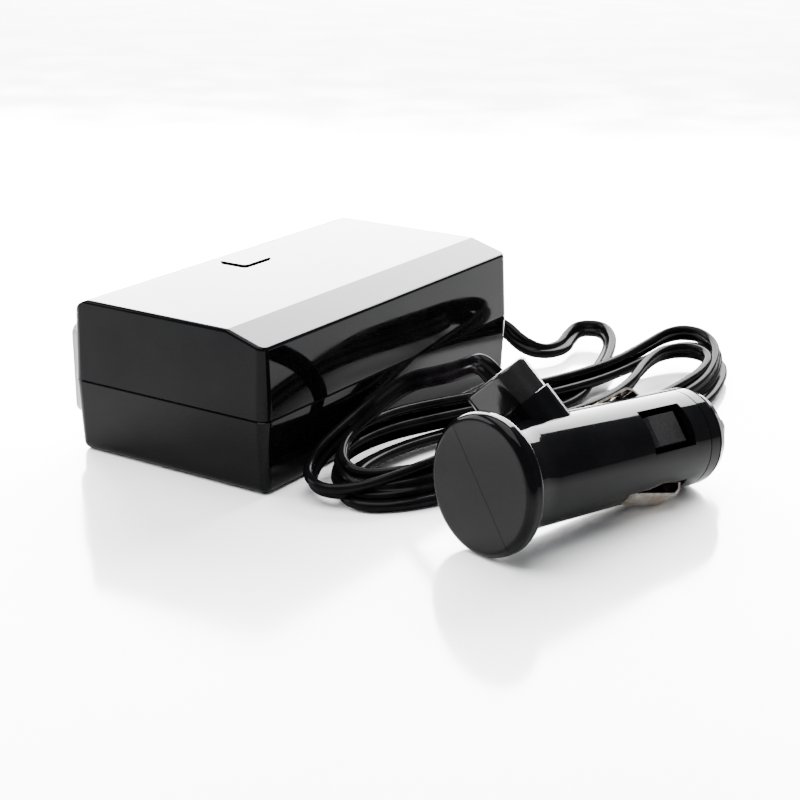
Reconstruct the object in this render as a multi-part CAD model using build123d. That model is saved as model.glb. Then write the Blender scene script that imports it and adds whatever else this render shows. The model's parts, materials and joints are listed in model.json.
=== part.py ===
from build123d import *
import math
import os

# Small power inverter: a two-part glossy case with an outlet, two USB ports and a push
# button, and a flat twin lead that ends in a 12 V accessory plug. Millimetres, +Z up.
# The origin is under the middle of the case, on the surface that it stands on.
# +X points to the end that the lead leaves, +Y to the outlet side.

# ---------------------------------------------------------------- driving dimensions
# case
case_length = 98.0
case_width = 54.0
case_height = 35.0
parting_height = 16.5
wall = 2.0
corner_radius = 2.5
base_inset = 0.8            # how far the lower walls draw in, from the parting line down
top_inset = 0.7             # how far the upper walls draw in, from the parting line up
base_edge_radius = 1.8
top_edge_radius = 0.8
outlet_edge_radius = 4.8    # the top edge above the outlet
parting_chamfer = 0.25
bevel_drop = 2.8            # sloped strip along the top edge opposite the outlet
bevel_width = 9.5
lip_height = 1.5
lip_thickness = 0.85
fit_gap = 0.1               # clearance all round a piece that is set in another
slide_gap = 0.15            # clearance all round a piece that moves

# case screws, driven from below
screw_inset = 6.0
boss_radius = 3.2
case_screw_radius = 1.25
case_screw_length = 18.0
case_screw_head_radius = 2.4
case_screw_head_height = 1.8
head_recess = 2.4

# outlet
outlet_proud = 3.0
outlet_x = -30.0
outlet_z = 17.5
outlet_plate_length = 32.0
outlet_plate_height = 21.0
outlet_plate_radius = 2.5
outlet_body_x = -27.5
outlet_body_length = 23.0
outlet_floor_gap = 0.9       # outlet body down to the board screws under it
outlet_body_depth = 12.0
outlet_seat = 0.8
outlet_rib = 1.2
blade_pitch = 12.7
blade_x = -33.0
slot_thickness = 2.0
line_slot = 6.8
neutral_slot = 8.2
contact_width = 6.4
contact_depth = 9.0
contact_sheet = 0.5
contact_gap = 1.4
face_thickness = 4.0
ground_pitch = 11.9
ground_hole_radius = 2.65
ground_tube_radius = 2.5
ground_tube_wall = 0.45

# USB ports
usb_x = (4.0, 20.5)
usb_width = 13.1
usb_height = 5.7
usb_depth = 14.0
usb_sheet = 0.35
usb_tongue_width = 11.1
usb_tongue_thickness = 1.84
usb_tongue_length = 8.8
usb_block_depth = 4.0

# status light beside the ports
led_x = -6.5
led_radius = 1.5
led_length = 5.4

# power button in the top
button_x = -1.5
button_y = 14.0
button_length = 10.0
button_width = 8.0
button_radius = 1.2
button_proud = 0.4
button_travel = 0.5
button_flange = 1.0
button_flange_height = 0.9
switch_size = 6.0
switch_height = 3.3
plunger_radius = 1.6
plunger_length = 2.2
button_board_length = 25.0
button_board_width = 10.0
button_board_thickness = 1.2
button_board_gap = 5.4      # underside of the top wall down to the board
hanger_pitch = 20.0
hanger_radius = 2.2
hanger_screw_radius = 0.9
hanger_screw_length = 3.8
hanger_head_radius = 1.7
hanger_head_height = 1.1

# main board
board_length = 78.0
board_width = 48.0
board_thickness = 1.6
board_height = 4.6
board_post_x = 36.0
board_post_y = 20.5
board_post_radius = 2.4
board_screw_radius = 1.15
board_screw_length = 4.6
board_head_radius = 2.1
board_head_height = 1.4

# parts on the main board
core_x = -2.0
core_y = -6.0
core_length = 26.0
core_depth = 12.0
core_height = 20.0
core_yoke = 3.6
core_leg = 7.0
core_side = 3.6
bobbin_base = 1.9
bobbin_wall = 0.6
bobbin_flange = 0.8
winding_depth = 4.0
input_can_x = -29.0
input_can_y = (-18.5, -7.5)
input_can_radius = 5.0
input_can_height = 16.0
output_can_x = 18.4
output_can_y = -3.0
output_can_radius = 6.5
output_can_height = 24.0
input_sink_x = -9.0
input_sink_y = -22.5
input_sink_length = 30.0
input_sink_height = 20.0
output_sink_x = 31.0
output_sink_y = -6.0
output_sink_length = 32.0
output_sink_height = 18.0
sink_thickness = 2.0
device_width = 10.0
device_thickness = 4.4
device_height = 15.0
device_lift = 3.0
device_screw_radius = 1.25
device_tab_thickness = 1.3
device_pack_height = 9.0
device_hole_radius = 1.7
device_hole_drop = 2.6      # from the tab's top edge
device_leg_pitch = 2.54
device_gap = 0.05           # film between a transistor and its heatsink
choke_x = -27.5
choke_y = 5.3
choke_outer = 6.6
choke_inner = 3.6
choke_thickness = 5.0
choke_wire = 0.7
choke_turns = 14
chip_x = (17.0, -7.0)
chip_y = (-15.5, 8.0)
chip_length = 10.0
chip_width = 4.0
chip_height = 1.8
fuse_x = 14.0
fuse_y = -22.0
fuse_length = 11.0
fuse_thickness = 3.8
fuse_height = 8.8
fuse_clip_height = 5.0

# lead bushing in the end wall
bushing_y = -13.5
bushing_z = 10.0
bushing_neck_radius = 3.6
bushing_flange_radius = 4.6
bushing_flange_thickness = 1.4
bushing_outer_length = 6.0
bushing_tip_radius = 2.9

# lead
lead_width = 4.4
wire_radius = 0.9

# plug, along its own axis from the face of its flange
plug_x = -49.0
plug_y = -78.5
plug_heading = -15.3        # degrees, its axis seen from above
plug_roll = 40.0            # degrees, the lead outlet leans from straight up
flange_radius = 14.2
flange_thickness = 3.6
flange_front_round = 1.6
flange_back_round = 1.3
neck_radius = 11.4
neck_round = 2.4
neck_end = 9.5
barrel_radius_back = 10.7
barrel_radius_front = 10.4
barrel_end = 56.0
barrel_bore_radius = 8.6
barrel_bore_start = 5.0
seam_gap = 0.1
leaf_start = 34.0
leaf_peak = 46.5
leaf_end = 50.5
leaf_width = 5.5
leaf_sheet = 0.5
leaf_clear = 1.0
leaf_proud = 2.0
leaf_slot_margin = 0.6
leaf_press = 7.0            # degrees that a contact leaf gives inwards
window_centre = 45.0
window_length = 12.5
window_width = 9.5
pad_length = 9.4
pad_width = 6.6
pad_depth = 1.0             # pad face below the barrel's surface
core_tube_radius = 4.6
core_tube_start = 35.0
saddle_thickness = 2.4
core_tube_end = 54.0
fuse_tube_radius = 3.18
fuse_tube_length = 30.0
cap_length = 7.6
cap_groove_at = 3.2
cap_groove_depth = 0.35
cap_groove_width = 0.7
cap_gap = 0.05
cap_neck_gap = 0.3
cap_neck_length = 4.0
cap_wall = 2.0
cap_hole_radius = 3.3
tip_radius = 3.1
tip_head_radius = 4.4
tip_head_thickness = 1.2
tip_head_gap = 0.05
tip_proud = 7.0
tip_travel = 2.5
spring_radius = 2.6
spring_wire = 0.5
spring_turns = 6
spring_seat_radius = 5.0
outlet_lean = 19.1          # degrees, the lead outlet leans back to the flange
outlet_at = 22.7            # where the lead outlet's axis meets the plug's
outlet_root_end = 14.8
outlet_root_width = 15.0
outlet_root_depth = 11.2
outlet_root_corner = 4.0
collar_end = 22.3
collar_width = 14.0
collar_depth = 10.0
collar_corner = 3.4
collar_edge = 0.8
collar_neck_length = 3.0
collar_neck_wall = 2.4
plug_screw_radius = 1.1
plug_screw_head_radius = 2.0
plug_screw_at = (12.0, 27.0)
plug_screw_length = 11.0
plug_screw_head_height = 1.3
plug_head_x = 5.0           # the seat of a plug screw's head, across the seam
plug_pillar_radius = 2.4
pillar_clear = 1.0          # between a screw's pillar and the coil

# ---------------------------------------------------------------- derived places
case_y = -outlet_proud / 2
half_length = case_length / 2
half_width = case_width / 2
front_y = case_y + half_width
top_inside = case_height - wall
board_top = board_height + board_thickness
plug_front = barrel_end + cap_gap + cap_length
tip_head_low = plug_front - cap_wall - tip_head_thickness - tip_head_gap
fuse_tube_start = tip_head_low - tip_head_gap - fuse_tube_length
flange_rest = flange_thickness - flange_back_round
cap_rest = barrel_end + cap_gap + cap_groove_at - cap_groove_width / 2
cap_neck_radius = barrel_bore_radius - cap_neck_gap
plug_screw_side = -(spring_radius + plug_pillar_radius + pillar_clear)
outlet_body_height = 2 * (outlet_z - board_top - board_head_height - outlet_floor_gap)
plug_dip = math.atan((flange_radius - barrel_radius_front) / (cap_rest - flange_rest))


def rounded(length, width, radius):
    return RectangleRounded(length, width, radius)


def block(x, y, z, length, width, height):
    """A box centred on x, y that stands on z."""
    return Pos(x, y, z + height / 2) * Box(length, width, height)


def post(x, y, z, radius, height):
    return Pos(x, y, z + height / 2) * Cylinder(radius, height)


def along_y(shape):
    """Turns what was drawn up +Z to run along +Y."""
    return Rot(-90, 0, 0) * shape


def save(name, shape):
    export_step(shape, f"parts/{name}.step")


# ---------------------------------------------------------------- case
def case_plan(inset, z, radius):
    drawn = rounded(case_length - 2 * inset, case_width - 2 * inset, radius)
    return Pos(0, case_y, z) * drawn


def drafted(inset, z, height, draw, radius):
    """A block whose walls draw in by draw over its height; a negative height runs down."""
    way = (0, 0, math.copysign(1, height))
    draft = math.degrees(math.atan2(draw, abs(height)))
    return extrude(case_plan(inset, z, radius), amount=abs(height), dir=way, taper=draft)


def sloped_strip(drop):
    """What the sloped strip takes off the upper block, lowered by drop."""
    crease_y = case_y - half_width + top_inset + bevel_width
    slope = bevel_drop / bevel_width
    reach = bevel_width + 5
    corners = [
        (crease_y, case_height - drop),
        (crease_y - reach, case_height - drop - slope * reach),
        (crease_y - reach, case_height + 5),
        (crease_y, case_height + 5),
    ]
    outline = Plane.YZ * Polygon(*corners, align=None)
    return extrude(outline, amount=case_length, both=True)


def outlet_side_round(inset):
    """What the rounding above the outlet takes off the upper block, or off its hollow inset by a wall."""
    y = front_y - top_inset - outlet_edge_radius
    z = case_height - outlet_edge_radius
    corner = Pos(y, z) * Rectangle(9, 9, align=(Align.MIN, Align.MIN))
    outline = Plane.YZ * (corner - Pos(y, z) * Circle(outlet_edge_radius - inset))
    return extrude(outline, amount=case_length, both=True)


def screw_places():
    x = half_length - screw_inset
    y = half_width - screw_inset
    return [(sx * x, case_y + sy * y) for sx in (-1, 1) for sy in (-1, 1)]


def wall_openings():
    """Everything that the two shells leave open for the pieces set in their walls."""
    deep = 6.0
    plate = Pos(outlet_x, front_y - outlet_seat + deep / 2, outlet_z) * Box(
        outlet_plate_length + 2 * fit_gap, deep, outlet_plate_height + 2 * fit_gap
    )
    throat = Pos(outlet_body_x, front_y - deep / 2, outlet_z) * Box(
        outlet_body_length + 2 * fit_gap, 3 * deep, outlet_body_height + 2 * fit_gap
    )
    cut = plate + throat
    for x in usb_x:
        cut += block(
            x,
            front_y,
            board_top - fit_gap,
            usb_width + 2 * fit_gap,
            2 * deep,
            usb_height + 2 * fit_gap,
        )
    cut += Pos(led_x, front_y, led_z()) * along_y(Cylinder(led_radius + fit_gap, 2 * deep))
    neck = Pos(half_length, bushing_y, bushing_z) * Rot(0, 90, 0)
    cut += neck * Cylinder(bushing_neck_radius + fit_gap, 2 * deep)
    return cut


def led_z():
    return board_top + usb_height / 2


def lower_shell():
    body = drafted(0, parting_height, -parting_height, base_inset, corner_radius)
    body = chamfer(body.edges().group_by(Axis.Z)[-1], parting_chamfer)
    body = fillet(body.edges().group_by(Axis.Z)[0], base_edge_radius)
    inside_radius = corner_radius - 1
    depth = parting_height - wall
    body -= drafted(wall, parting_height, -depth, base_inset * depth / parting_height, inside_radius)
    lip = extrude(case_plan(wall - lip_thickness, parting_height - 1, inside_radius), lip_height + 1)
    lip -= extrude(case_plan(wall, parting_height - 2, inside_radius), lip_height + 4)
    body += lip
    for x, y in screw_places():
        body += post(x, y, wall / 2, boss_radius, parting_height - wall / 2)
        body -= post(x, y, -1, case_screw_radius + fit_gap, case_height)
        body -= post(x, y, -1, case_screw_head_radius + fit_gap, head_recess + 1)
    for x in (-board_post_x, board_post_x):
        for side in (-board_post_y, board_post_y):
            body += post(x, case_y + side, wall / 2, board_post_radius, board_height - wall / 2)
            body -= post(
                x,
                case_y + side,
                board_top - board_screw_length - fit_gap,
                board_screw_radius + fit_gap,
                board_screw_length + 5,
            )
    return body - wall_openings()


def upper_shell():
    rise = case_height - parting_height
    body = drafted(0, parting_height, rise, top_inset, corner_radius)
    body -= sloped_strip(0)
    body = chamfer(body.edges().group_by(Axis.Z)[0], parting_chamfer)
    crease = case_y - half_width + top_inset + bevel_width
    rim = [
        edge
        for edge in body.edges()
        if edge.bounding_box().min.Z > case_height - bevel_drop - 2
        and abs(edge.center().Y - crease) > 1e-3
    ]
    body = fillet(rim, top_edge_radius) - outlet_side_round(0)
    inside_radius = corner_radius - 1
    depth = rise - wall
    hollow = drafted(wall, parting_height, depth, top_inset * depth / rise, inside_radius)
    body -= hollow - sloped_strip(wall) - outlet_side_round(wall)
    recess = wall - lip_thickness - fit_gap
    body -= extrude(case_plan(recess, parting_height - 1, inside_radius), lip_height + 1 + fit_gap)
    for x, y in screw_places():
        solid_post = post(x, y, parting_height, boss_radius, case_height - parting_height - wall / 2)
        body += solid_post - sloped_strip(wall / 2)
        hole_top = head_recess - case_screw_head_height + case_screw_length
        body -= post(x, y, parting_height - 1, case_screw_radius + fit_gap, hole_top - parting_height + 2)
    for side in (-0.5, 0.5):
        x = button_x + side * hanger_pitch
        foot = top_inside - button_board_gap
        body += post(x, button_y, foot, hanger_radius, button_board_gap + wall / 2)
        body -= post(x, button_y, foot - 1, hanger_screw_radius + fit_gap, hanger_screw_length + 1)
    opening = Pos(button_x, button_y, top_inside - 1) * extrude(
        rounded(button_length + 2 * slide_gap, button_width + 2 * slide_gap, button_radius),
        wall + 3,
    )
    return body - opening - wall_openings()


def case_screws():
    made = []
    seat = head_recess
    for x, y in screw_places():
        screw = post(x, y, seat - case_screw_head_height, case_screw_head_radius, case_screw_head_height)
        screw += post(x, y, seat, case_screw_radius, case_screw_length - case_screw_head_height)
        recess = Pos(x, y, seat - case_screw_head_height + 0.4)
        screw -= recess * Box(2.6, 0.6, 0.9)
        screw -= recess * Box(0.6, 2.6, 0.9)
        made.append(screw)
    return Compound(children=made)


# ---------------------------------------------------------------- outlet
def outlet_insert():
    plate = Pos(outlet_x, front_y - outlet_seat, outlet_z) * along_y(
        extrude(
            rounded(outlet_plate_length, outlet_plate_height, outlet_plate_radius),
            outlet_proud + outlet_seat,
        )
    )
    plate = chamfer(plate.edges().group_by(Axis.Y)[-1], 0.6)
    back = front_y - outlet_body_depth
    body = Pos(outlet_body_x, back + outlet_body_depth / 2, outlet_z) * Box(
        outlet_body_length, outlet_body_depth, outlet_body_height
    )
    rib_front = front_y - wall - base_inset
    body += Pos(outlet_body_x, rib_front - outlet_rib / 2, outlet_z) * Box(
        outlet_body_length, outlet_rib, outlet_body_height + 2
    )
    body += plate
    face = front_y + outlet_proud
    for side, slot in ((1, line_slot), (-1, neutral_slot)):
        z = outlet_z + side * blade_pitch / 2
        body -= Pos(blade_x, face, z) * Box(slot, 4 * outlet_body_depth, slot_thickness)
        cavity_depth = face - face_thickness - back
        body -= Pos(blade_x, back + cavity_depth / 2 - 1, z) * Box(
            max(contact_width, slot) + 0.6, cavity_depth + 2, contact_height() + 2 * fit_gap
        )
    hole = Pos(blade_x + ground_pitch, face, outlet_z) * along_y(
        Cylinder(ground_hole_radius, 4 * outlet_body_depth)
    )
    body -= hole
    bore_length = face - face_thickness - back + 2
    body -= Pos(blade_x + ground_pitch, back - 2 + bore_length / 2, outlet_z) * along_y(
        Cylinder(ground_tube_radius + ground_tube_wall + fit_gap, bore_length)
    )
    return body


def contact_height():
    return contact_gap + 2 * contact_sheet + 0.6


def blade_contact(side):
    """A folded strip that grips a flat blade from both sides."""
    z = outlet_z + side * blade_pitch / 2
    mouth = front_y + outlet_proud - face_thickness - 0.5
    half = contact_height() / 2
    spread = half - contact_sheet / 2
    pinch = contact_gap / 2 + contact_sheet / 2
    path = [
        (mouth, spread),
        (mouth - 1.6, pinch),
        (mouth - 3.2, spread),
        (mouth - contact_depth, spread),
    ]
    sections = []
    for (y0, z0), (y1, z1) in zip(path, path[1:]):
        run = math.hypot(y1 - y0, z1 - z0)
        angle = math.degrees(math.atan2(z1 - z0, y1 - y0))
        strip = Rot(angle, 0, 0) * Box(contact_width, run + 0.2, contact_sheet)
        sections.append(Pos(0, (y0 + y1) / 2, (z0 + z1) / 2) * strip)
    leaf = sections[0]
    for section in sections[1:]:
        leaf += section
    closed = Pos(0, mouth - contact_depth, 0) * Box(contact_width, contact_sheet, contact_height())
    tail = Pos(0, mouth - contact_depth - 1.5, 0) * Box(2.5, 3, contact_sheet)
    pair = leaf + mirror(leaf, about=Plane.XY) + closed + tail
    trim = Pos(0, mouth - contact_depth / 2, 0) * Box(50, 4 * contact_depth, contact_height())
    return Pos(blade_x, 0, z) * (pair & trim)


def ground_contact():
    length = contact_depth + 1
    mouth = front_y + outlet_proud - face_thickness - 0.5
    tube = Cylinder(ground_tube_radius + ground_tube_wall, length)
    tube -= Cylinder(ground_tube_radius, length + 2)
    tube -= Pos(ground_tube_radius, 0, 2) * Box(4, 0.7, length)
    return Pos(blade_x + ground_pitch, mouth - length / 2, outlet_z) * (Rot(90, 0, 0) * tube)


# ---------------------------------------------------------------- USB ports and light
def usb_front():
    return front_y - 0.3


def usb_shell(x):
    front = usb_front()
    shell = block(x, front - usb_depth / 2, board_top, usb_width, usb_depth, usb_height)
    shell -= block(
        x,
        front - usb_depth / 2 + usb_sheet,
        board_top + usb_sheet,
        usb_width - 2 * usb_sheet,
        usb_depth,
        usb_height - 2 * usb_sheet,
    )
    for side in (-1, 1):
        shell -= block(x + side * 3.2, front - 5, board_top + usb_height - 1, 2.4, 3.4, 2)
    return shell


def usb_tongue(x):
    back = usb_front() - usb_depth + usb_sheet + 0.02
    height = usb_height - 2 * usb_sheet - 0.1
    made = block(
        x,
        back + usb_block_depth / 2,
        board_top + usb_sheet + 0.05,
        usb_width - 2 * usb_sheet - 0.1,
        usb_block_depth,
        height,
    )
    top = board_top + usb_height - usb_sheet - 0.8
    made += block(
        x,
        back + usb_block_depth + usb_tongue_length / 2,
        top - usb_tongue_thickness,
        usb_tongue_width,
        usb_tongue_length,
        usb_tongue_thickness,
    )
    return made


def status_light():
    shaft = Cylinder(led_radius, led_length - led_radius)
    dome = Pos(0, 0, (led_length - led_radius) / 2) * Sphere(led_radius)
    rim = Pos(0, 0, -(led_length - led_radius) / 2 + 0.4) * Cylinder(led_radius + 0.35, 0.8)
    made = shaft + dome + rim
    middle = front_y - 0.4 - (led_length - led_radius) / 2
    placed = Pos(led_x, middle, led_z()) * along_y(made)
    back = middle - (led_length - led_radius) / 2
    for side in (-0.9, 0.9):
        leg = Pos(led_x + side, back - 0.7, led_z()) * Box(0.5, 1.6, 0.5)
        leg += block(led_x + side, back - 1.5, board_top, 0.5, 0.5, led_z() - board_top + 0.25)
        placed += leg
    return placed


# ---------------------------------------------------------------- power button
def power_button():
    low = case_height + button_proud - button_rise()
    body = Pos(button_x, button_y, low) * extrude(
        rounded(button_length, button_width, button_radius), button_rise()
    )
    body = fillet(body.edges().group_by(Axis.Z)[-1], 0.2)
    body += Pos(button_x, button_y, low) * extrude(
        rounded(button_length + 2 * button_flange, button_width + 2 * button_flange, button_radius),
        button_flange_height,
    )
    return body


def button_rise():
    return button_proud + wall + slide_gap + button_flange_height


def switch_top():
    return top_inside - button_board_gap + switch_height


def button_board():
    low = top_inside - button_board_gap - button_board_thickness
    plate = block(
        button_x, button_y, low, button_board_length, button_board_width, button_board_thickness
    )
    for side in (-0.5, 0.5):
        plate -= post(
            button_x + side * hanger_pitch, button_y, low - 1, hanger_screw_radius + fit_gap, 4
        )
    return plate


def switch_body():
    base = top_inside - button_board_gap
    body = block(button_x, button_y, base, switch_size, switch_size, switch_height)
    well = plunger_length - plunger_rise() + button_travel + 0.2
    body -= post(button_x, button_y, switch_top() - well, plunger_radius + 0.08, well + 1)
    return body


def plunger_rise():
    """How far the plunger stands out of the switch, up to the button's underside."""
    return case_height + button_proud - button_rise() - switch_top()


def switch_plunger():
    low = switch_top() + plunger_rise() - plunger_length
    return post(button_x, button_y, low, plunger_radius, plunger_length)


def hanger_screws():
    made = []
    under = top_inside - button_board_gap - button_board_thickness
    for side in (-0.5, 0.5):
        x = button_x + side * hanger_pitch
        screw = post(x, button_y, under - hanger_head_height, hanger_head_radius, hanger_head_height)
        screw += post(x, button_y, under, hanger_screw_radius, hanger_screw_length)
        made.append(screw)
    return Compound(children=made)


# ---------------------------------------------------------------- main board and parts
def board_post_places():
    return [(x, case_y + y) for x in (-board_post_x, board_post_x) for y in (-board_post_y, board_post_y)]


def main_board():
    plate = block(0, case_y, board_height, board_length, board_width, board_thickness)
    for x, y in board_post_places():
        plate -= post(x, y, board_height - 1, board_screw_radius + fit_gap, board_thickness + 2)
    return plate


def board_screws():
    made = []
    for x, y in board_post_places():
        screw = post(x, y, board_top, board_head_radius, board_head_height)
        screw += post(x, y, board_top - board_screw_length, board_screw_radius, board_screw_length)
        slot = Pos(x, y, board_top + board_head_height)
        screw -= slot * Box(2.4, 0.5, 1.2)
        screw -= slot * Box(0.5, 2.4, 1.2)
        made.append(screw)
    return Compound(children=made)


def window_width_of_core():
    return (core_length - core_leg - 2 * core_side) / 2


def transformer_core():
    low = board_top + bobbin_base
    body = block(core_x, core_y, low, core_length, core_depth, core_height)
    offset = core_leg / 2 + window_width_of_core() / 2
    for side in (-1, 1):
        body -= block(
            core_x + side * offset,
            core_y,
            low + core_yoke,
            window_width_of_core(),
            core_depth + 2,
            core_height - 2 * core_yoke,
        )
    return body


def spool_size(extra):
    """Length and depth of the bobbin's tube, grown by extra all round."""
    return core_leg + 2 * fit_gap + 2 * extra, core_depth + 2 * fit_gap + 2 * extra


def transformer_bobbin():
    low = board_top + bobbin_base + core_yoke + fit_gap
    high = board_top + bobbin_base + core_height - core_yoke - fit_gap
    length, depth = spool_size(bobbin_wall)
    body = block(core_x, core_y, low, length, depth, high - low)
    wide = core_length - 2 * core_side - 2 * fit_gap
    deep = core_depth + 2 * winding_depth + 1
    for z in (low, high - bobbin_flange):
        body += block(core_x, core_y, z, wide, deep, bobbin_flange)
    hole_length, hole_depth = spool_size(0)
    body -= block(core_x, core_y, low - 1, hole_length, hole_depth, high - low + 2)
    return body


def transformer_seat():
    """The pinned foot that carries the core on the board."""
    return block(core_x, core_y, board_top, core_length - 4, core_depth + 6, bobbin_base)


def transformer_winding():
    low = board_top + bobbin_base + core_yoke + fit_gap + bobbin_flange + 0.05
    high = board_top + bobbin_base + core_height - core_yoke - fit_gap - bobbin_flange - 0.05
    inner_length, inner_depth = spool_size(bobbin_wall + 0.05)
    outer_length = core_length - 2 * core_side - 0.8
    outer_depth = core_depth + 2 * winding_depth
    body = Pos(core_x, core_y, low) * extrude(rounded(outer_length, outer_depth, 3), high - low)
    return body - block(core_x, core_y, low - 1, inner_length, inner_depth, high - low + 2)


def can(x, y, radius, height):
    """An electrolytic capacitor with its rolled groove."""
    body = post(x, y, board_top, radius, height)
    body = fillet(body.edges().group_by(Axis.Z)[-1], 0.6)
    groove = Pos(x, y, board_top + 2.2) * (Cylinder(radius + 1, 0.8) - Cylinder(radius - 0.35, 2))
    return body - groove


def input_capacitors():
    return Compound(
        children=[can(input_can_x, y, input_can_radius, input_can_height) for y in input_can_y]
    )


def input_heatsink():
    plate = block(
        input_sink_x, input_sink_y, board_top, input_sink_length, sink_thickness, input_sink_height
    )
    for x in input_device_x():
        hole = along_y(Cylinder(device_screw_radius + fit_gap, 3 * sink_thickness))
        plate -= Pos(x, input_sink_y, device_screw_z()) * hole
    return plate


def output_heatsink():
    plate = block(
        output_sink_x, output_sink_y, board_top, sink_thickness, output_sink_length, output_sink_height
    )
    for y in output_device_y():
        hole = Rot(0, 90, 0) * Cylinder(device_screw_radius + fit_gap, 3 * sink_thickness)
        plate -= Pos(output_sink_x, y, device_screw_z()) * hole
    return plate


def input_device_x():
    return [input_sink_x - 8, input_sink_x + 8]


def output_device_y():
    return [output_sink_y - 9, output_sink_y + 9]


def device_screw_z():
    return board_top + device_lift + device_height - device_hole_drop


def power_device():
    """A power transistor, tab against the y = 0 plane, legs down to z = 0."""
    tab = block(
        0, device_tab_thickness / 2, device_lift, device_width, device_tab_thickness, device_height
    )
    pack_thickness = device_thickness - device_tab_thickness
    pack = block(
        0,
        device_tab_thickness + pack_thickness / 2,
        device_lift,
        device_width,
        pack_thickness,
        device_pack_height,
    )
    body = tab + pack
    hole = along_y(Cylinder(device_hole_radius, 4 * device_thickness))
    body -= Pos(0, 0, device_lift + device_height - device_hole_drop) * hole
    for side in (-device_leg_pitch, 0, device_leg_pitch):
        body += block(side, 2.4, 0, 0.8, 0.6, device_lift + 0.2)
    return body


def input_transistors():
    made = []
    for x in input_device_x():
        made.append(Pos(x, input_sink_y + sink_thickness / 2 + device_gap, board_top) * power_device())
    return Compound(children=made)


def output_transistors():
    made = []
    for y in output_device_y():
        place = Pos(output_sink_x - sink_thickness / 2 - device_gap, y, board_top)
        made.append(place * Rot(0, 0, 90) * power_device())
    return Compound(children=made)


def output_capacitor():
    return can(output_can_x, output_can_y, output_can_radius, output_can_height)


def choke_core():
    ring = Cylinder(choke_outer, choke_thickness) - Cylinder(choke_inner, choke_thickness + 2)
    return Pos(choke_x, choke_y, choke_middle()) * ring


def choke_middle():
    return board_top + choke_wire + 0.25 + choke_thickness / 2


def choke_winding():
    section = choke_outer - choke_inner
    inner_length = section + 0.2
    inner_height = choke_thickness + 0.2
    hoop = Box(inner_length + 2 * choke_wire, choke_wire, inner_height + 2 * choke_wire)
    hoop -= Box(inner_length, 2 * choke_wire, inner_height)
    middle = (choke_outer + choke_inner) / 2
    made = []
    for k in range(choke_turns):
        turn = Rot(0, 0, 360 * k / choke_turns) * Pos(middle, 0, 0) * hoop
        made.append(Pos(choke_x, choke_y, choke_middle()) * turn)
    return Compound(children=made)


def control_chips():
    made = []
    for x, y in zip(chip_x, chip_y):
        body = block(x, y, board_top + 0.2, chip_length, chip_width, chip_height)
        for k in range(5):
            px = x + (k - 2) * 1.9
            body += block(px, y, board_top, 0.5, chip_width + 2, 0.25)
        made.append(body)
    return Compound(children=made)


def fuse_holder():
    made = []
    for side in (-1, 1):
        x = fuse_x + side * (fuse_length / 2 - 2)
        clip = block(x, fuse_y, board_top, 3.0, fuse_thickness + 1.2, fuse_clip_height)
        clip -= block(x, fuse_y, board_top + 0.6, 4.0, 1.0, fuse_clip_height)
        made.append(clip)
    return Compound(children=made)


def board_fuse():
    low = board_top + fuse_clip_height + 0.05
    body = block(fuse_x, fuse_y, low, fuse_length, fuse_thickness, fuse_height)
    body = fillet(body.edges().filter_by(Axis.Z), 0.6)
    for side in (-1, 1):
        x = fuse_x + side * (fuse_length / 2 - 2)
        body += block(x, fuse_y, board_top + 0.8, 2.6, 0.7, fuse_clip_height)
    return body


# ---------------------------------------------------------------- lead bushing and leads
def bushing_back():
    return half_length - base_inset - wall - bushing_flange_thickness


def lead_bushing():
    """A rubber bushing: flange inside the wall, neck through it, taper outside."""
    to_x = Rot(0, 90, 0)
    start = bushing_back()
    neck_length = half_length - start
    flange = Pos(start + bushing_flange_thickness / 2, 0, 0) * (
        to_x * Cylinder(bushing_flange_radius, bushing_flange_thickness)
    )
    neck = Pos(start + neck_length / 2, 0, 0) * (to_x * Cylinder(bushing_neck_radius, neck_length))
    taper = Pos(half_length + bushing_outer_length / 2, 0, 0) * (
        to_x * Cone(bushing_neck_radius + 0.6, bushing_tip_radius, bushing_outer_length)
    )
    body = flange + neck + taper
    for k in range(2):
        at = half_length + 1.9 + 1.9 * k
        ring = to_x * (Cylinder(8, 0.8) - Cylinder(bushing_tip_radius - 0.1, 2))
        body -= Pos(at, 0, 0) * ring
    return Pos(0, bushing_y, bushing_z) * body


def lead_wires():
    """The two wires from the bushing's inner face down to the board."""
    made = []
    start = bushing_back()
    drop_x = board_length / 2 - 2.0
    for side in (-1.15, 1.15):
        points = [
            (start, bushing_y + side, bushing_z),
            (drop_x, bushing_y + side, bushing_z),
            (drop_x, bushing_y + side, board_top),
        ]
        bend = min(start - drop_x, bushing_z - board_top) * 0.8
        path = FilletPolyline(points, radius=bend)
        section = Plane(origin=path @ 0, z_dir=path % 0) * Circle(wire_radius)
        made.append(sweep(section, path=path))
    return Compound(children=made)


# ---------------------------------------------------------------- plug frame
def plug_plane():
    """The plug's own frame: z along its axis to the tip, y up its lead outlet's side."""
    heading = math.radians(plug_heading)
    forward = Vector(
        math.cos(heading) * math.cos(plug_dip),
        math.sin(heading) * math.cos(plug_dip),
        -math.sin(plug_dip),
    )
    level = Vector(-math.sin(heading), math.cos(heading), 0)
    up = forward.cross(level)
    roll = math.radians(plug_roll)
    side = up * math.cos(roll) + level * math.sin(roll)
    height = flange_radius * math.cos(plug_dip) + flange_rest * math.sin(plug_dip) + 0.02
    return Plane(
        origin=(plug_x, plug_y + case_y, height), x_dir=side.cross(forward), z_dir=forward
    )


def in_plug(shape):
    return plug_plane().location * shape


def outlet_frame():
    """The lead outlet's frame in the plug's: z out along the outlet, x across the seam."""
    lean = math.radians(outlet_lean)
    return Plane(
        origin=(0, 0, outlet_at),
        x_dir=(1, 0, 0),
        z_dir=(0, math.cos(lean), -math.sin(lean)),
    ).location


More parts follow.
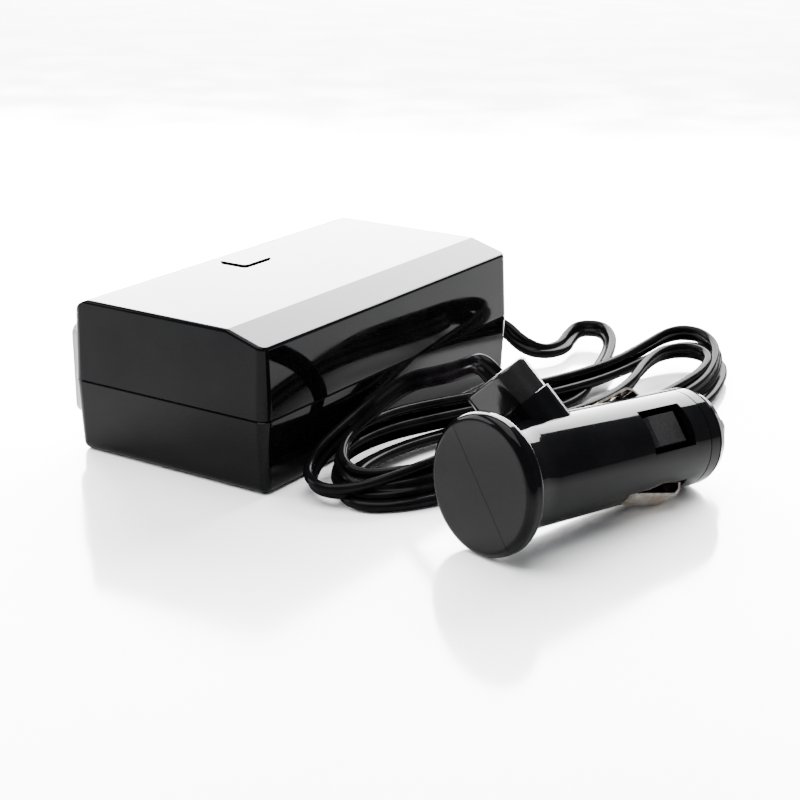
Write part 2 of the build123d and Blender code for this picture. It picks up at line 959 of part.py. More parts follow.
def lead_end():
    """Where the lead leaves the collar, and the way that it points."""
    frame = plug_plane().location * outlet_frame()
    start = (frame * Pos(0, 0, collar_end)).position
    inner = (frame * Pos(0, 0, collar_end - 1)).position
    return start, start - inner


# ---------------------------------------------------------------- plug pieces
def barrel_blank():
    """The closed body of revolution: a flange, a hollow neck and a tapering barrel."""
    outline = Polygon(
        (0, 0),
        (flange_radius, 0),
        (flange_radius, flange_thickness),
        (neck_radius, flange_thickness + 1),
        (barrel_radius_back, neck_end),
        (barrel_radius_front, barrel_end),
        (0, barrel_end),
        align=None,
    )
    rounds = [
        ((flange_radius, 0), flange_front_round),
        ((flange_radius, flange_thickness), flange_back_round),
        ((neck_radius, flange_thickness + 1), neck_round),
        ((barrel_radius_back, neck_end), 20),
    ]
    for (x, y), radius in rounds:
        corner = outline.vertices().sort_by_distance((x, y, 0))[0]
        outline = fillet(corner, radius)
    return revolve(Plane.XZ * outline, axis=Axis.Z)


def leaf_slot():
    width = leaf_width + 2 * leaf_slot_margin
    length = leaf_end - leaf_start + 2 * leaf_slot_margin
    middle = (leaf_end + leaf_start) / 2
    return Pos(0, 0, middle) * Box(width, 4 * barrel_radius_back, length)


def side_window():
    cut = Pos(0, 0, window_centre) * Box(4 * barrel_radius_back, window_width, window_length)
    return cut


def outlet_root():
    frame = outlet_frame()
    root = frame * extrude(
        rounded(outlet_root_width, outlet_root_depth, outlet_root_corner), outlet_root_end
    )
    return root


def outlet_hollow():
    frame = outlet_frame()
    return frame * extrude(
        rounded(
            collar_width - 2 * collar_neck_wall,
            collar_depth - 2 * collar_neck_wall + 1,
            1.5,
        ),
        outlet_root_end + 5,
    )


def plug_halves():
    body = barrel_blank()
    bore_length = barrel_end - barrel_bore_start
    body -= Pos(0, 0, barrel_bore_start + bore_length / 2 + 1) * Cylinder(
        barrel_bore_radius, bore_length + 2
    )
    body += outlet_root() - Cylinder(barrel_bore_radius, 200)
    body -= side_window()
    for low, radius in ((core_tube_start + 1, core_tube_radius), (spring_back() - 3, spring_radius)):
        saddle = Cylinder(barrel_bore_radius + 0.5, saddle_thickness)
        saddle -= Cylinder(radius + fit_gap, 3 * saddle_thickness)
        body += Pos(0, 0, low + saddle_thickness / 2) * saddle
    body -= outlet_hollow()
    body -= leaf_slot()
    for z in plug_screw_at:
        y = plug_screw_side
        pillar = Pos(0, y, z) * (Rot(0, 90, 0) * Cylinder(plug_pillar_radius, 2.2 * barrel_bore_radius))
        body += pillar & (Pos(0, 0, z) * Cylinder(barrel_bore_radius + 0.5, 8))
        body -= Pos(0, y, z) * (Rot(0, 90, 0) * Cylinder(plug_screw_radius + fit_gap, 13))
        head = Rot(0, 90, 0) * Cylinder(plug_screw_head_radius + fit_gap, 10)
        body -= Pos(plug_head_x + 5, y, z) * head
    wide = 4 * flange_radius
    tall = 300
    near = body & (Pos(-wide / 2 - seam_gap / 2, 0, 0) * Box(wide, wide * 2, tall))
    far = body & (Pos(wide / 2 + seam_gap / 2, 0, 0) * Box(wide, wide * 2, tall))
    return near, far


def plug_screws():
    made = []
    for z in plug_screw_at:
        y = plug_screw_side
        turn = Rot(0, 90, 0)
        shank = turn * Cylinder(plug_screw_radius, plug_screw_length)
        head = turn * Cylinder(plug_screw_head_radius, plug_screw_head_height)
        screw = Pos(plug_head_x - plug_screw_length / 2, y, z) * shank
        screw += Pos(plug_head_x + plug_screw_head_height / 2, y, z) * head
        recess = Pos(plug_head_x + plug_screw_head_height, y, z)
        screw -= recess * Box(0.8, 2.2, 0.5)
        screw -= recess * Box(0.8, 0.5, 2.2)
        made.append(in_plug(screw))
    return Compound(children=made)


def collar():
    frame = outlet_frame()
    length = collar_end - outlet_root_end - 0.1
    outer = Pos(0, 0, outlet_root_end + 0.1) * extrude(
        rounded(collar_width, collar_depth, collar_corner), length
    )
    outer = fillet(outer.edges().group_by(Axis.Z)[-1], collar_edge)
    neck = Pos(0, 0, outlet_root_end - collar_neck_length) * extrude(
        rounded(
            collar_width - 2 * collar_neck_wall - 2 * fit_gap,
            collar_depth - 2 * collar_neck_wall + 1 - 2 * fit_gap,
            1.4,
        ),
        collar_neck_length + 1,
    )
    return in_plug(frame * (outer + neck))


def leaf_path():
    """The leaf's middle line, as distances along the plug's axis and out from it."""
    surface = barrel_radius_front
    return [
        (leaf_start - 2.8, barrel_bore_radius - leaf_clear),
        (leaf_start + 0.6, barrel_bore_radius - leaf_clear),
        (leaf_start + 3.0, surface - 0.1),
        (leaf_peak, surface + leaf_proud - leaf_sheet / 2),
        (leaf_peak + 1.6, surface + leaf_proud - 1.0),
        (leaf_end, surface - 2.4),
    ]


def contact_leaf(side):
    path = [(side * out, z) for z, out in leaf_path()]
    line = FilletPolyline(*path, radius=0.8)
    centre = Plane.YZ * line
    start = Plane(origin=centre @ 0, z_dir=centre % 0, x_dir=(1, 0, 0))
    strip = sweep(start * Rectangle(leaf_width, leaf_sheet), path=centre)
    return in_plug(strip)


def plug_core():
    """The carrier inside the barrel: it holds the fuse and shows a pad in each window."""
    length = core_tube_end - core_tube_start
    body = Pos(0, 0, core_tube_start + length / 2) * Cylinder(core_tube_radius, length)
    face = barrel_radius_front - pad_depth
    pad = Pos(0, 0, window_centre) * Box(2 * face, pad_width, pad_length)
    pad = chamfer(pad.edges().filter_by(Axis.Y), 0.8)
    body += pad
    return in_plug(body - Pos(0, 0, window_centre) * Cylinder(fuse_tube_radius + 0.06, 60))


def plug_fuse():
    glass = Pos(0, 0, fuse_tube_start + fuse_tube_length / 2) * Cylinder(
        fuse_tube_radius, fuse_tube_length
    )
    return in_plug(glass)


def nose_cap():
    end = cap_length
    outline = [
        (0, 0),
        (barrel_radius_front - 0.3, 0),
        (barrel_radius_front, 0.3),
        (barrel_radius_front, cap_groove_at - cap_groove_width / 2),
        (barrel_radius_front - cap_groove_depth, cap_groove_at),
        (barrel_radius_front - 0.1, cap_groove_at + cap_groove_width / 2),
        (barrel_radius_front - 0.9, cap_groove_at + 2.2),
        (barrel_radius_front - 2.2, end - 0.9),
        (barrel_radius_front - 3.4, end),
        (0, end),
    ]
    shell = revolve(Plane.XZ * Polygon(*outline, align=None), axis=Axis.Z)
    shell += Pos(0, 0, -cap_neck_length / 2) * Cylinder(cap_neck_radius, cap_neck_length)
    hollow = cap_length - cap_wall + cap_neck_length
    shell -= Pos(0, 0, hollow / 2 - cap_neck_length) * Cylinder(cap_neck_radius - 1.6, hollow)
    shell -= Cylinder(cap_hole_radius, 100)
    return in_plug(Pos(0, 0, barrel_end + cap_gap) * shell)


def tip_pin():
    end = plug_front + tip_proud
    shaft = Pos(0, 0, (tip_head_low + end) / 2) * Cylinder(tip_radius, end - tip_head_low)
    shaft = fillet(shaft.edges().group_by(Axis.Z)[-1], 1.6)
    head = Pos(0, 0, tip_head_low + tip_head_thickness / 2) * Cylinder(tip_head_radius, tip_head_thickness)
    return in_plug(shaft + head)


def tip_spring():
    """A coil behind the fuse; it pushes the fuse and the tip forward."""
    length = fuse_tube_start - spring_back()
    pitch = (length - spring_wire) / spring_turns
    line = Helix(pitch, length - spring_wire, spring_radius - spring_wire / 2)
    start = Plane(origin=line @ 0, z_dir=line % 0)
    coil = sweep(start * Circle(spring_wire / 2 * 0.9), path=line, is_frenet=True)
    return in_plug(Pos(0, 0, spring_back() + spring_wire / 2) * coil)


def spring_back():
    return fuse_tube_start - 8.0


def spring_seat():
    """The metal cup that the coil stands on, held between the two halves."""
    cup = Pos(0, 0, spring_back() - 0.3) * Cylinder(spring_seat_radius, 0.5)
    return in_plug(cup)


# ---------------------------------------------------------------- lead
# Route points chosen by hand. The stretch from the case counts x from the bushing's tip; both
# stretches end inside the hank.
case_route = [
    (5.5, bushing_y, bushing_z),
    (9.2, -18.4, 7.8),
    (7.2, -25.2, 4.4),
    (9.4, -30.4, 2.8),
    (16.0, -32.2, 2.8),
    (23.4, -30.0, 3.4),
    (29.8, -29.4, 4.2),
    (32.0, -35.0, 4.4),
    (27.0, -40.2, 3.8),
    (19.2, -43.8, 3.2),
    (9.0, -47.2, 2.8),
    (-3.0, -50.4, 2.6),
]
plug_route = [
    (-36.2, -51.0, 4.8),
    (-43.0, -46.2, 3.6),
    (-45.4, -40.0, 3.2),
    (-43.2, -34.8, 4.2),
    (-37.0, -32.4, 6.0),
    (-29.6, -32.2, 8.2),
    (-22.6, -33.8, 11.4),
    (-18.2, -37.8, 15.8),
    (-17.2, -43.8, 20.2),
    (-19.4, -50.8, 23.8),
    (-23.4, -58.0, 27.2),
    (-27.6, -63.8, 31.0),
]
hank_outline = [
    (-42.0, -46.5),
    (-39.5, -39.5),
    (-30.0, -34.8),
    (-15.0, -34.6),
    (1.0, -38.6),
    (19.0, -45.2),
    (38.0, -50.8),
    (56.0, -53.6),
    (71.0, -55.2),
    (83.0, -57.6),
    (86.0, -64.0),
    (81.5, -71.0),
    (69.0, -75.5),
    (54.0, -78.2),
    (34.0, -76.2),
    (12.0, -70.4),
    (-8.0, -64.4),
    (-24.0, -59.4),
    (-35.5, -54.0),
]
lead_end_run = 4.5           # how far the lead runs straight out of the collar
hank_width = 11.0
hank_height = 7.6
hank_corner = 4.5


def bend_radii(points):
    """Each corner's radius: as large as the shorter of its two runs allows."""
    radii = []
    for before, at, after in zip(points, points[1:], points[2:]):
        run_in = Vector(*at) - Vector(*before)
        run_out = Vector(*after) - Vector(*at)
        half_turn = math.radians(run_in.get_angle(run_out)) / 2
        radii.append(0.45 * min(run_in.length, run_out.length) / math.tan(half_turn))
    return radii


def cord_tube(points, name):
    radii = bend_radii(points)
    path = FilletPolyline(*points, radius=radii)
    section = Plane(origin=path @ 0, z_dir=path % 0) * Circle(lead_width / 2)
    tube = sweep(section, path=path)
    expected = math.pi * (lead_width / 2) ** 2 * path.length
    print(name, "length", round(path.length, 1), "radii", [round(r, 1) for r in radii])
    print(name, "volume", round(tube.volume, 1), "section times length", round(expected, 1))
    return tube


def case_cord():
    tip = half_length + bushing_outer_length
    route = [(tip + x, y, z) for x, y, z in case_route]
    return cord_tube([(tip, bushing_y, bushing_z)] + route, "case_cord")


def plug_cord():
    end, back = lead_end()
    last = end + back * lead_end_run
    tail = [tuple(last), tuple(end)]
    return cord_tube(plug_route + tail, "plug_cord")


def cord_hank():
    """The outer shape of the loose turns between the case and the plug."""
    turn = make_face(FilletPolyline(*hank_outline, radius=hank_corner, close=True))
    ring = offset(turn, hank_width / 2) - offset(turn, -hank_width / 2)
    solid = extrude(ring, hank_height)
    return fillet(solid.edges().group_by(Axis.Z)[-1], 2.0)


def main():
    os.makedirs("parts", exist_ok=True)
    save("lower_shell", lower_shell())
    save("upper_shell", upper_shell())
    save("case_screws", case_screws())
    save("outlet_insert", outlet_insert())
    save("line_contact", blade_contact(1))
    save("neutral_contact", blade_contact(-1))
    save("ground_contact", ground_contact())
    for number, x in enumerate(usb_x, start=1):
        save(f"usb_shell_{number}", usb_shell(x))
        save(f"usb_tongue_{number}", usb_tongue(x))
    save("status_light", status_light())
    save("power_button", power_button())
    save("button_board", button_board())
    save("switch_body", switch_body())
    save("switch_plunger", switch_plunger())
    save("hanger_screws", hanger_screws())
    save("main_board", main_board())
    save("board_screws", board_screws())
    save("transformer_core", transformer_core())
    save("transformer_bobbin", transformer_bobbin())
    save("transformer_seat", transformer_seat())
    save("transformer_winding", transformer_winding())
    save("input_capacitors", input_capacitors())
    save("input_heatsink", input_heatsink())
    save("input_transistors", input_transistors())
    save("output_capacitor", output_capacitor())
    save("output_heatsink", output_heatsink())
    save("output_transistors", output_transistors())
    save("choke_core", choke_core())
    save("choke_winding", choke_winding())
    save("control_chips", control_chips())
    save("fuse_holder", fuse_holder())
    save("board_fuse", board_fuse())
    save("lead_bushing", lead_bushing())
    save("lead_wires", lead_wires())
    near, far = plug_halves()
    save("plug_half_near", in_plug(near))
    save("plug_half_far", in_plug(far))
    save("plug_collar", collar())
    save("plug_screws", plug_screws())
    save("contact_leaf_upper", contact_leaf(1))
    save("contact_leaf_lower", contact_leaf(-1))
    save("plug_core", plug_core())
    save("plug_fuse", plug_fuse())
    save("nose_cap", nose_cap())
    save("tip_pin", tip_pin())
    save("tip_spring", tip_spring())
    save("spring_seat", spring_seat())
    save("case_cord", case_cord())
    save("cord_hank", cord_hank())
    save("plug_cord", plug_cord())


main()
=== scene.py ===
"""Looks for a pocket power inverter: gloss case, flat twin lead in loose turns, 12 V accessory plug.
Metres, +Z up, the CAD frame: +X is the end that the lead leaves, +Y the outlet side."""

import json
import math

import bmesh
import bpy
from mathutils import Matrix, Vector


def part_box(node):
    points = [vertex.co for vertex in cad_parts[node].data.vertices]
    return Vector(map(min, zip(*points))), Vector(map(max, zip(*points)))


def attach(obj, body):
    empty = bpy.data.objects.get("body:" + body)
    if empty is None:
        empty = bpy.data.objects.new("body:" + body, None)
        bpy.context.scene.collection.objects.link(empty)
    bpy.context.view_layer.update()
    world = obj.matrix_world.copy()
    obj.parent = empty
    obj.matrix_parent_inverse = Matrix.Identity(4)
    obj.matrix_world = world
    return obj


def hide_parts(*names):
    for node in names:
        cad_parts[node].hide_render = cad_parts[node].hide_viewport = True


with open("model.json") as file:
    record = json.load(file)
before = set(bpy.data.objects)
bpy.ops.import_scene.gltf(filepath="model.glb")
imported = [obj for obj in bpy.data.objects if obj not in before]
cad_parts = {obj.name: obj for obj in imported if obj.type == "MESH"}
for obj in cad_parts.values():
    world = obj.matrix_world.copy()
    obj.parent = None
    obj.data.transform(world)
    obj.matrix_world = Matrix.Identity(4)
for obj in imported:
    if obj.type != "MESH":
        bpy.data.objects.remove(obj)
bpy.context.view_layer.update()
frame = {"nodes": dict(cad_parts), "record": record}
nodes = frame["nodes"]
MM = 0.001


# ---------------------------------------------------------------- camera and light
CAMERA_PLACE = (-0.31485, -0.24095, 0.13848)
CAMERA_AHEAD = (0.7843, 0.5283, -0.3252)
CAMERA_LENS = 79.0


def make_camera():
    data = bpy.data.cameras.new("camera")
    data.lens = CAMERA_LENS
    data.sensor_width = 36.0
    data.clip_start = 0.01
    data.dof.use_dof = False
    camera = bpy.data.objects.new("camera", data)
    bpy.context.collection.objects.link(camera)
    camera.location = CAMERA_PLACE
    camera.rotation_euler = Vector(CAMERA_AHEAD).to_track_quat("-Z", "Y").to_euler()
    bpy.context.scene.camera = camera


def make_softbox(name, place, target, width, height, power, tint=(1.0, 1.0, 1.0)):
    data = bpy.data.lights.new(name, "AREA")
    data.shape = "RECTANGLE"
    data.size = width
    data.size_y = height
    data.energy = power
    data.color = tint
    light = bpy.data.objects.new(name, data)
    bpy.context.collection.objects.link(light)
    light.location = place
    aim = Vector(target) - Vector(place)
    light.rotation_euler = aim.to_track_quat("-Z", "Y").to_euler()
    return light


# ---------------------------------------------------------------- materials
def linear(hexcode):
    """An sRGB hex colour as the linear values that shaders take."""
    channels = [int(hexcode[i : i + 2], 16) / 255 for i in (0, 2, 4)]
    return tuple(c / 12.92 if c <= 0.04045 else ((c + 0.055) / 1.055) ** 2.4 for c in channels) + (1.0,)


class Shader:
    """A material's node tree, with one small function that adds a node and sets its inputs."""

    def __init__(self, name):
        self.material = bpy.data.materials.new(name)
        self.material.use_nodes = True
        self.tree = self.material.node_tree
        self.tree.nodes.clear()
        self.output = self.add("ShaderNodeOutputMaterial")
        self.surface = self.add("ShaderNodeBsdfPrincipled")
        self.link(self.surface.outputs[0], self.output.inputs["Surface"])
        self.place = self.add("ShaderNodeTexCoord").outputs["Object"]

    def add(self, kind, settings=None, **inputs):
        node = self.tree.nodes.new(kind)
        for key, value in (settings or {}).items():
            setattr(node, key, value)
        for key, value in inputs.items():
            socket = node.inputs[key.replace("_", " ")]
            if isinstance(value, bpy.types.NodeSocket):
                self.link(value, socket)
            else:
                socket.default_value = value
        return node

    def link(self, source, target):
        self.tree.links.new(source, target)

    def set(self, **inputs):
        for key, value in inputs.items():
            socket = self.surface.inputs[key.replace("_", " ")]
            if isinstance(value, bpy.types.NodeSocket):
                self.link(value, socket)
            else:
                socket.default_value = value

    def noise(self, size_mm, detail=2.0, rough=0.5, stretch=None):
        """Noise whose features are about size_mm across."""
        vector = self.place
        if stretch:
            vector = self.add("ShaderNodeMapping", Vector=vector, Scale=stretch).outputs[0]
        return self.add(
            "ShaderNodeTexNoise",
            Vector=vector,
            Scale=1 / (size_mm * MM),
            Detail=detail,
            Roughness=rough,
        ).outputs["Fac"]

    def ramp(self, fac, low, high, start=0.35, end=0.65):
        """A smooth step of fac between two plain values."""
        return self.add(
            "ShaderNodeMapRange",
            {"interpolation_type": "SMOOTHSTEP"},
            Value=fac,
            **{"From_Min": start, "From_Max": end, "To_Min": low, "To_Max": high},
        ).outputs[0]

    def mix(self, fac, first, second):
        node = self.add("ShaderNodeMix", {"data_type": "RGBA"})
        for socket, value in zip((node.inputs[0], node.inputs[6], node.inputs[7]), (fac, first, second)):
            if isinstance(value, bpy.types.NodeSocket):
                self.link(value, socket)
            else:
                socket.default_value = value
        return node.outputs[2]

    def bump(self, height, depth_mm):
        node = self.add("ShaderNodeBump", Strength=1.0, Distance=depth_mm * MM, Height=height)
        self.set(Normal=node.outputs[0])


def gloss_abs():
    """Polished injection-moulded ABS: near black, a faint waviness and fine wiping haze."""
    m = Shader("polished black ABS")
    tone = m.ramp(m.noise(9, 3), 0.0, 1.0)
    m.set(Base_Color=m.mix(tone, linear("030304"), linear("060607")))
    haze = m.ramp(m.noise(6, 5, 0.6), 0.03, 0.06)
    m.set(Roughness=haze, IOR=1.5, Specular_IOR_Level=0.05)
    m.bump(m.noise(14, 1), 0.012)
    return m.material


def clear_polycarbonate():
    """Moulded polycarbonate, smoky clear: pale where light crosses its edge, grey where it is thick."""
    m = Shader("smoky clear polycarbonate")
    tone = m.ramp(m.noise(6, 3), 0.0, 1.0)
    m.set(Base_Color=m.mix(tone, linear("a9abb0"), linear("b6b8bc")), Transmission_Weight=0.55)
    m.set(Roughness=m.ramp(m.noise(5, 3), 0.05, 0.12), IOR=1.58)
    m.bump(m.noise(8, 1), 0.01)
    return m.material


def cord_pvc():
    """Flexible PVC sheath: black, semi-gloss, slightly uneven from extrusion."""
    m = Shader("semi-gloss black PVC")
    tone = m.ramp(m.noise(7, 3), 0.0, 1.0)
    m.set(Base_Color=m.mix(tone, linear("060506"), linear("0c0b0c")))
    m.set(Roughness=m.ramp(m.noise(2.2, 3), 0.4, 0.5), IOR=1.5, Specular_IOR_Level=0.0)
    m.set(Coat_Weight=0.07, Coat_Roughness=0.16)
    m.bump(m.noise(1.6, 2), 0.008)
    return m.material


def soft_pvc():
    """Moulded strain-relief PVC, a little duller than the shells."""
    m = Shader("moulded black PVC")
    tone = m.ramp(m.noise(4, 3), 0.0, 1.0)
    m.set(Base_Color=m.mix(tone, linear("09090a"), linear("101011")))
    m.set(Roughness=m.ramp(m.noise(3, 3), 0.07, 0.13), IOR=1.5, Specular_IOR_Level=0.25)
    m.bump(m.noise(0.8, 2), 0.006)
    return m.material


def dark_phenolic():
    """Matte moulding compound for chips, switch and bobbin."""
    m = Shader("matte moulding compound")
    tone = m.ramp(m.noise(0.8, 3), 0.0, 1.0)
    m.set(Base_Color=m.mix(tone, linear("0b0b0c"), linear("131314")), Roughness=0.42, Specular_IOR_Level=0.12)
    m.bump(m.noise(0.2, 2), 0.01)
    return m.material


def metal(name, light, dark, rough_low, rough_high, grain_mm, stretch=None, depth=0.004):
    m = Shader(name)
    tone = m.ramp(m.noise(grain_mm * 4, 4, 0.6), 0.0, 1.0)
    m.set(Base_Color=m.mix(tone, linear(dark), linear(light)), Metallic=1.0)
    m.set(Roughness=m.ramp(m.noise(grain_mm, 3, 0.6, stretch), rough_low, rough_high))
    m.bump(m.noise(grain_mm, 3, 0.6, stretch), depth)
    return m.material


def zinc_steel():
    """Zinc-plated screws."""
    return metal("zinc plated steel", "b9bcc0", "8f9296", 0.22, 0.4, 0.5)


def spring_steel():
    """Nickel-plated spring strip, polished on its rolled face."""
    return metal("plated spring strip", "d6d2cc", "b3a596", 0.1, 0.18, 0.6, None, 0.001)


def nickel():
    """Turned and nickel-plated contact pin."""
    return metal("nickel plated brass", "cfc8be", "a39a90", 0.1, 0.24, 0.3)


def brass():
    """Stamped contact brass."""
    return metal("stamped brass", "d8b466", "a5803c", 0.2, 0.38, 0.5)


def mill_aluminium():
    """Extruded heatsink plate, grain along its length."""
    return metal("mill aluminium", "c4c6c8", "9fa2a5", 0.25, 0.45, 0.4, (0.08, 0.08, 1.0))


def fuse_glass():
    """Glass fuse body."""
    m = Shader("fuse glass")
    m.set(Base_Color=linear("dfe9e6"), Transmission_Weight=0.9, IOR=1.5)
    m.set(Roughness=m.ramp(m.noise(2, 2), 0.02, 0.06))
    return m.material


def light_lens():
    """Diffused green epoxy of the status light."""
    m = Shader("green epoxy")
    glow = m.mix(m.ramp(m.noise(1, 2), 0.0, 1.0), linear("2c9a45"), linear("47b35c"))
    m.set(Base_Color=glow, Roughness=0.15, Transmission_Weight=0.35, IOR=1.5)
    return m.material


def circuit_board():
    """Glass-epoxy board with green solder mask over faint copper tracks."""
    m = Shader("green solder mask")
    cells = m.add("ShaderNodeTexVoronoi", {"feature": "DISTANCE_TO_EDGE"}, Vector=m.place, Scale=300.0)
    track = m.ramp(cells.outputs["Distance"], 1.0, 0.0, 0.02, 0.06)
    m.set(Base_Color=m.mix(track, linear("0f4a24"), linear("1d6b38")))
    m.set(Roughness=m.ramp(m.noise(1.5, 2), 0.22, 0.36))
    m.bump(track, 0.03)
    return m.material


def ferrite():
    """Sintered ferrite: dark grey, fine grained."""
    m = Shader("sintered ferrite")
    tone = m.ramp(m.noise(0.6, 4), 0.0, 1.0)
    m.set(Base_Color=m.mix(tone, linear("232326"), linear("35353a")), Roughness=0.5, Metallic=0.2)
    m.bump(m.noise(0.3, 3), 0.02)
    return m.material


def winding_tape():
    """Yellow polyester tape over the winding, with the laps of each turn."""
    m = Shader("polyester tape")
    laps = m.add("ShaderNodeTexWave", {"bands_direction": "Z"}, Vector=m.place, Scale=120.0, Distortion=0.4)
    band = m.ramp(laps.outputs["Fac"], 0.0, 1.0, 0.2, 0.8)
    m.set(Base_Color=m.mix(band, linear("c9a21f"), linear("e0bd3a")), Roughness=0.28)
    m.bump(band, 0.05)
    return m.material


def copper_wire():
    """Enamelled copper wire."""
    return metal("enamelled copper", "b4643a", "8c4322", 0.15, 0.3, 0.6)


def can_sleeve():
    """Heat-shrunk sleeve of the capacitors."""
    m = Shader("shrink sleeve")
    tone = m.ramp(m.noise(3, 3), 0.0, 1.0)
    m.set(Base_Color=m.mix(tone, linear("10162e"), linear("1a2244")))
    m.set(Roughness=m.ramp(m.noise(2, 2), 0.18, 0.3))
    m.bump(m.noise(2.5, 2), 0.03)
    return m.material


def fuse_body():
    """Translucent orange fuse moulding."""
    m = Shader("orange fuse moulding")
    tone = m.ramp(m.noise(2, 2), 0.0, 1.0)
    m.set(Base_Color=m.mix(tone, linear("c9540d"), linear("e0701e")), Roughness=0.2)
    m.set(Transmission_Weight=0.25)
    return m.material


def floor_paper():
    """Smooth white acrylic that the object stands on."""
    m = Shader("white acrylic sheet")
    tone = m.ramp(m.noise(60, 3), 0.0, 1.0)
    m.set(Base_Color=m.mix(tone, linear("f4f4f5"), linear("f8f8f8")))
    m.set(Roughness=m.ramp(m.noise(40, 3), 0.1, 0.16), Specular_IOR_Level=0.5)
    return m.material


def dress_nodes():
    """Gives every CAD node the material of its slot."""
    makers = {
        "gloss_black": gloss_abs,
        "clear_grey": clear_polycarbonate,
        "soft_black": soft_pvc,
        "lead_jacket": cord_pvc,
        "dark_plastic": dark_phenolic,
        "zinc_steel": zinc_steel,
        "bright_steel": spring_steel,
        "nickel": nickel,
        "brass": brass,
        "fuse_glass": fuse_glass,
        "light_lens": light_lens,
        "circuit_board": circuit_board,
        "ferrite": ferrite,
        "winding_tape": winding_tape,
        "copper_wire": copper_wire,
        "can_sleeve": can_sleeve,
        "bare_aluminium": mill_aluminium,
        "fuse_body": fuse_body,
    }
    made = {slot: make() for slot, make in makers.items()}
    for part in frame["record"]["subparts"]:
        piece = nodes[part["node"]]
        piece.data.materials.clear()
        piece.data.materials.append(made[part["material_slot"]])
    return made


# ---------------------------------------------------------------- the lead
# The route's points, in metres: from the bushing to the hank, and from the hank to the plug.
CASE_ROUTE = [
    (0.0605, -0.0135, 0.0100),
    (0.0642, -0.0184, 0.0078),
    (0.0622, -0.0252, 0.0044),
    (0.0644, -0.0304, 0.0028),
    (0.0710, -0.0322, 0.0028),
    (0.0784, -0.0300, 0.0034),
    (0.0848, -0.0294, 0.0042),
    (0.0870, -0.0350, 0.0044),
    (0.0820, -0.0402, 0.0038),
    (0.0742, -0.0438, 0.0032),
    (0.0640, -0.0472, 0.0028),
    (0.0520, -0.0504, 0.0026),
]
PLUG_ROUTE = [
    (-0.0362, -0.0510, 0.0048),
    (-0.0430, -0.0462, 0.0036),
    (-0.0454, -0.0400, 0.0032),
    (-0.0432, -0.0348, 0.0042),
    (-0.0370, -0.0324, 0.0060),
    (-0.0296, -0.0322, 0.0082),
    (-0.0226, -0.0338, 0.0114),
    (-0.0182, -0.0378, 0.0158),
    (-0.0172, -0.0438, 0.0202),
    (-0.0194, -0.0508, 0.0230),
    (-0.0234, -0.0580, 0.0264),
    (-0.0275, -0.0642, 0.0298),
]
HANK_OUTLINE = [
    (-0.0420, -0.0465, 0.0000),
    (-0.0395, -0.0395, 0.0016),
    (-0.0300, -0.0348, 0.0032),
    (-0.0150, -0.0346, 0.0034),
    (0.0010, -0.0386, 0.0024),
    (0.0190, -0.0452, 0.0010),
    (0.0380, -0.0508, 0.0000),
    (0.0560, -0.0536, 0.0002),
    (0.0710, -0.0552, 0.0024),
    (0.0830, -0.0576, 0.0050),
    (0.0860, -0.0640, 0.0054),
    (0.0815, -0.0710, 0.0040),
    (0.0690, -0.0755, 0.0018),
    (0.0540, -0.0782, 0.0004),
    (0.0340, -0.0762, 0.0000),
    (0.0120, -0.0704, 0.0000),
    (-0.0080, -0.0644, 0.0000),
    (-0.0240, -0.0594, 0.0000),
    (-0.0355, -0.0540, 0.0000),
]
# Where the cord turns back on itself inside the hank and runs to the plug on top of it.
FOLD_ROUTE = [
    (0.0530, -0.0760, 0.0054),
    (0.0650, -0.0752, 0.0054),
    (0.0750, -0.0720, 0.0060),
    (0.0766, -0.0652, 0.0066),
    (0.0696, -0.0608, 0.0068),
    (0.0580, -0.0616, 0.0066),
    (0.0420, -0.0658, 0.0064),
    (0.0240, -0.0672, 0.0068),
    (0.0050, -0.0630, 0.0070),
    (-0.0120, -0.0586, 0.0068),
    (-0.0260, -0.0548, 0.0060),
]
CORD_WIDTH = 4.4 * MM
CORD_THICKNESS = 2.2 * MM
# The flat lead lies flat on the floor and turns up on its edge where it runs clear of it.
EDGE_TILT = math.radians(68)
FLAT_BELOW = 1.8 * MM
TILT_RISE = 2.2 * MM
JOINS_AT = 6     # the outline point beside which the case's stretch joins the hank
HANK_STEPS = 50  # points that the turns take, up to the fold
# Where each turn lies from the outline: along, across and up, in millimetres.
TURN_SHIFT = [(-1.5, -2.6, 1.3), (0.0, 0.0, 3.2), (2.5, 1.6, 4.8)]


def bushing_exit():
    low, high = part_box("lead_bushing")
    return Vector((high.x, (low.y + high.y) / 2, (low.z + high.z) / 2))


def collar_exit():
    """The middle of the collar's outer end face, and the way that it faces."""
    mesh = nodes["plug_collar"].data
    face = max(mesh.polygons, key=lambda p: p.normal.z * p.area)
    normal = face.normal.copy()
    ends = [mesh.vertices[i].co for p in mesh.polygons if p.normal.dot(normal) > 0.999 for i in p.vertices]
    reach = max(v.dot(normal) for v in ends)
    on_face = [v for v in ends if v.dot(normal) > reach - 1e-5]
    middle = sum((v for v in on_face), Vector()) / len(on_face)
    return middle, normal


def hank_turns():
    """Points of the loose turns: each has its own place, and the upper ones rise where they spring."""
    count = len(HANK_OUTLINE)
    turns = len(TURN_SHIFT)
    points = []
    for step in range(HANK_STEPS):
        turn, place = divmod(step, count)
        x, y, rise = HANK_OUTLINE[(JOINS_AT - step) % count]
        here = TURN_SHIFT[turn]
        following = TURN_SHIFT[min(turn + 1, turns - 1)]
        change = (place / count) ** 3
        along, across, height = [a + (b - a) * change for a, b in zip(here, following)]
        across += 0.5 * math.sin(1.1 * step + 1.3 * turn)
        height = max(height + 0.2 * math.sin(1.7 * step), 1.2)
        lift = rise * (turn + 1) / turns
        points.append((x + along * MM, y + across * MM, height * MM + lift))
    return points


